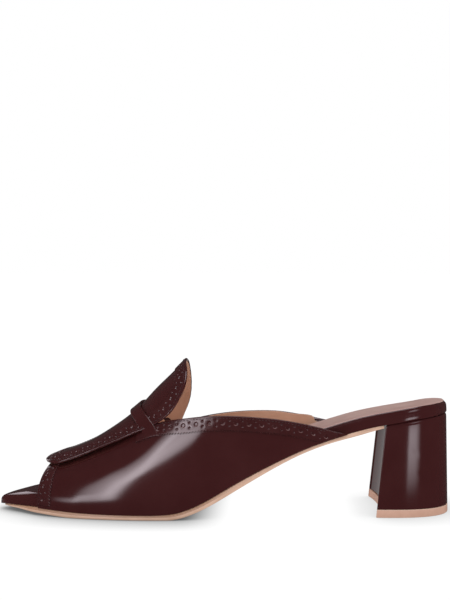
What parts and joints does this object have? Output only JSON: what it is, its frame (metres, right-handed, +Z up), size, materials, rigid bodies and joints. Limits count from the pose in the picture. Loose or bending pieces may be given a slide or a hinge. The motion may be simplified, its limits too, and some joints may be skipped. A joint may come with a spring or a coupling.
{
  "type": "open-toe heeled mule",
  "caption": "Open-toe slip-on mule with a hollow vamp, a long tongue under a keeper strap, perforated edge bands and a flared block heel.",
  "frame": {"origin": "on the floor under the centre of the shoe's bounding box", "axes": "+X from the toe to the heel, -Y towards the inner (medial) side, +Z up"},
  "size_m": [0.2402, 0.081, 0.0801],
  "materials": {
    "upper_leather": "smooth glossy box calf",
    "lining_leather": "plain matt lining leather",
    "sole_leather": "natural tan, burnished edge",
    "heel_rubber": "tan, satin"
  },
  "bodies": {
    "root": {"outsole": "sole_leather", "top_piece": "heel_rubber", "heel_block": "upper_leather", "footbed": "upper_leather", "sock_lining": "lining_leather", "vamp": "upper_leather", "toe_band": "upper_leather", "topline_band_inner": "upper_leather", "topline_band_outer": "upper_leather", "tongue": "upper_leather", "keeper": "upper_leather"}
  },
  "joints": []
}
